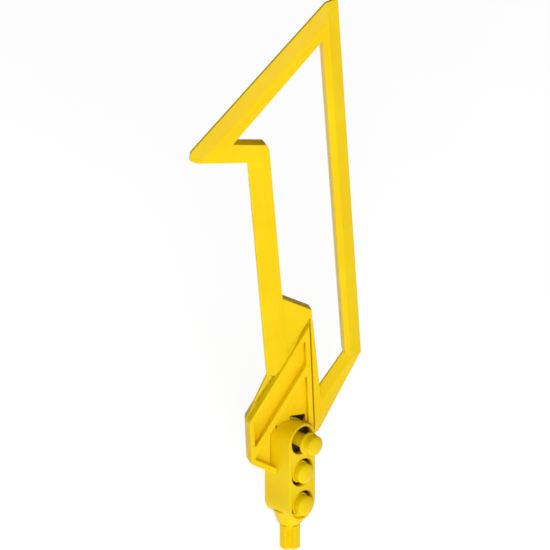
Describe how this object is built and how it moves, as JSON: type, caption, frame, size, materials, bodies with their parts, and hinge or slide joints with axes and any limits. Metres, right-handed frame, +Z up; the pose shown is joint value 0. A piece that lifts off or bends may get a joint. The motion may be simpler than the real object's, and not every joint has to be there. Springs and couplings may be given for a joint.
{
  "type": "toy flag blade",
  "caption": "Rigid feather-shaped toy flag: an open bevelled frame with a ribbed guard, on a pegged coupler that swivels on a short cross-section pole stub.",
  "frame": {"origin": "centre of the pole stub's flat bottom end", "axes": "+Z up along the pole, the blade in the XZ plane with its front facing -Y and its barb towards -X"},
  "size_m": [0.0391, 0.0135, 0.1343],
  "materials": {
    "blade_plastic": "satin-gloss moulded yellow plastic",
    "guard_plastic": "satin-gloss moulded yellow plastic",
    "coupler_plastic": "satin-gloss moulded yellow plastic",
    "pole_plastic": "satin-gloss moulded yellow plastic",
    "peg_plastic": "satin-gloss moulded yellow plastic"
  },
  "bodies": {
    "pole": {"cross_shaft": "pole_plastic"},
    "flag": {"coupler": "coupler_plastic", "blade_frame": "blade_plastic", "front_guard": "guard_plastic", "rear_guard": "guard_plastic"},
    "top_peg": {"top_peg": "peg_plastic"},
    "middle_peg": {"middle_peg": "peg_plastic"},
    "bottom_peg": {"bottom_peg": "peg_plastic"}
  },
  "joints": [
    {"name": "flag_turn", "type": "hinge", "parent": "pole", "child": "flag", "pos_m": [0, 0, 0.0119], "axis": [0, 0, 1], "continuous": true},
    {"name": "top_peg_slide", "type": "slide", "parent": "flag", "child": "top_peg", "axis": [0.4848, -0.8746, 0], "range_m": [-0.0029, 0.0011]},
    {"name": "middle_peg_slide", "type": "slide", "parent": "flag", "child": "middle_peg", "axis": [0.4848, -0.8746, 0], "range_m": [0, 0.004]},
    {"name": "bottom_peg_slide", "type": "slide", "parent": "flag", "child": "bottom_peg", "axis": [0.4848, -0.8746, 0], "range_m": [0, 0.0012]}
  ]
}
